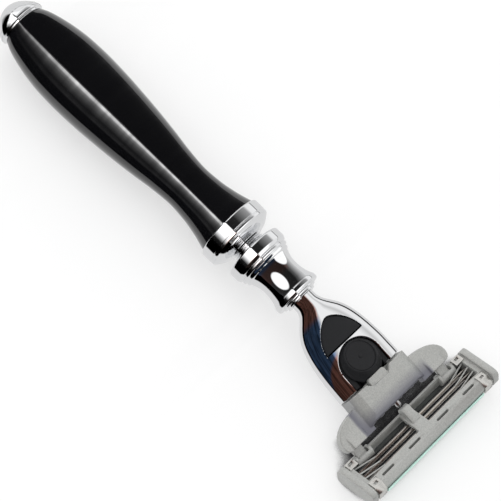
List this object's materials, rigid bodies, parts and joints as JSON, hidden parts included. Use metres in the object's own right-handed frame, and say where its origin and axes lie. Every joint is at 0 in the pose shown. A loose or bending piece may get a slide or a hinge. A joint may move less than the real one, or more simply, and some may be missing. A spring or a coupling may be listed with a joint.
{
  "type": "cartridge razor",
  "caption": "Safety razor with a turned black resin handle, polished collars, a flared head with a round release button and a pivoting multi-blade cartridge.",
  "frame": {"origin": "centre of the small flat at the pole of the pommel, on the axis of the handle", "axes": "+X along the handle from the pommel to the cartridge, +Y along the blades, +Z towards the side of the release button (away from the skin)"},
  "size_m": [0.1373, 0.042, 0.0173],
  "materials": {
    "chrome": "mirror-polished plating",
    "resin": "polished black resin",
    "steel": "turned steel",
    "black_plastic": "fine matte moulding",
    "grey_plastic": "silver-grey satin moulding",
    "rubber": "soft finned rubber",
    "mint_polymer": "pale mint lubricating polymer",
    "aluminium": "soft bright strip",
    "blade_steel": "ground blade steel"
  },
  "bodies": {
    "handle": {"pommel_cap": "chrome", "grip": "resin", "tie_rod": "steel", "ferrule_collar": "chrome", "ring_spacer": "chrome", "neck_baluster": "chrome", "head_shell": "chrome", "thumb_pad": "black_plastic", "chassis_insert": "black_plastic", "insert_screw": "steel", "button_spring": "steel", "plunger_spring": "steel"},
    "button": {"release_button": "black_plastic", "ejector_fork": "black_plastic"},
    "plunger": {"plunger": "steel"},
    "connector": {"connector": "grey_plastic"},
    "cartridge": {"cartridge_housing": "grey_plastic", "guard_strip": "rubber", "lube_strip": "mint_polymer", "clip_left": "aluminium", "clip_right": "aluminium"},
    "blade_unit_1": {"blade_support_1": "blade_steel", "blade_1": "blade_steel"},
    "blade_unit_2": {"blade_support_2": "blade_steel", "blade_2": "blade_steel"},
    "blade_unit_3": {"blade_support_3": "blade_steel", "blade_3": "blade_steel"}
  },
  "joints": [
    {"name": "button_slide", "type": "slide", "parent": "handle", "child": "button", "axis": [0.9816, 0, -0.1908], "range_m": [0, 0.003], "stiffness_N_per_m": 300, "deforming": ["button_spring"]},
    {"name": "cartridge_release", "type": "slide", "parent": "button", "child": "connector", "axis": [0.9816, 0, -0.1908], "range_m": [0, 0.012]},
    {"name": "cartridge_pivot", "type": "hinge", "parent": "connector", "child": "cartridge", "pos_m": [0.12793, 0, -0.00627], "axis": [0, -1, 0], "range_deg": [0, 44], "stiffness_Nm_per_rad": 0.01},
    {"name": "plunger_slide", "type": "slide", "parent": "handle", "child": "plunger", "axis": [0.9816, 0, -0.1908], "range_m": [-0.0015, 0], "deforming": ["plunger_spring"]},
    {"name": "blade_float_1", "type": "slide", "parent": "cartridge", "child": "blade_unit_1", "axis": [-0.3746, 0, 0.9272], "range_m": [0, 0.0003], "stiffness_N_per_m": 800},
    {"name": "blade_float_2", "type": "slide", "parent": "cartridge", "child": "blade_unit_2", "axis": [-0.3746, 0, 0.9272], "range_m": [0, 0.0003], "stiffness_N_per_m": 800},
    {"name": "blade_float_3", "type": "slide", "parent": "cartridge", "child": "blade_unit_3", "axis": [-0.3746, 0, 0.9272], "range_m": [0, 0.0003], "stiffness_N_per_m": 800}
  ],
  "couplings": [
    {"joint": "plunger_slide", "follows": "cartridge_pivot", "m_per_rad": -0.001888}
  ]
}
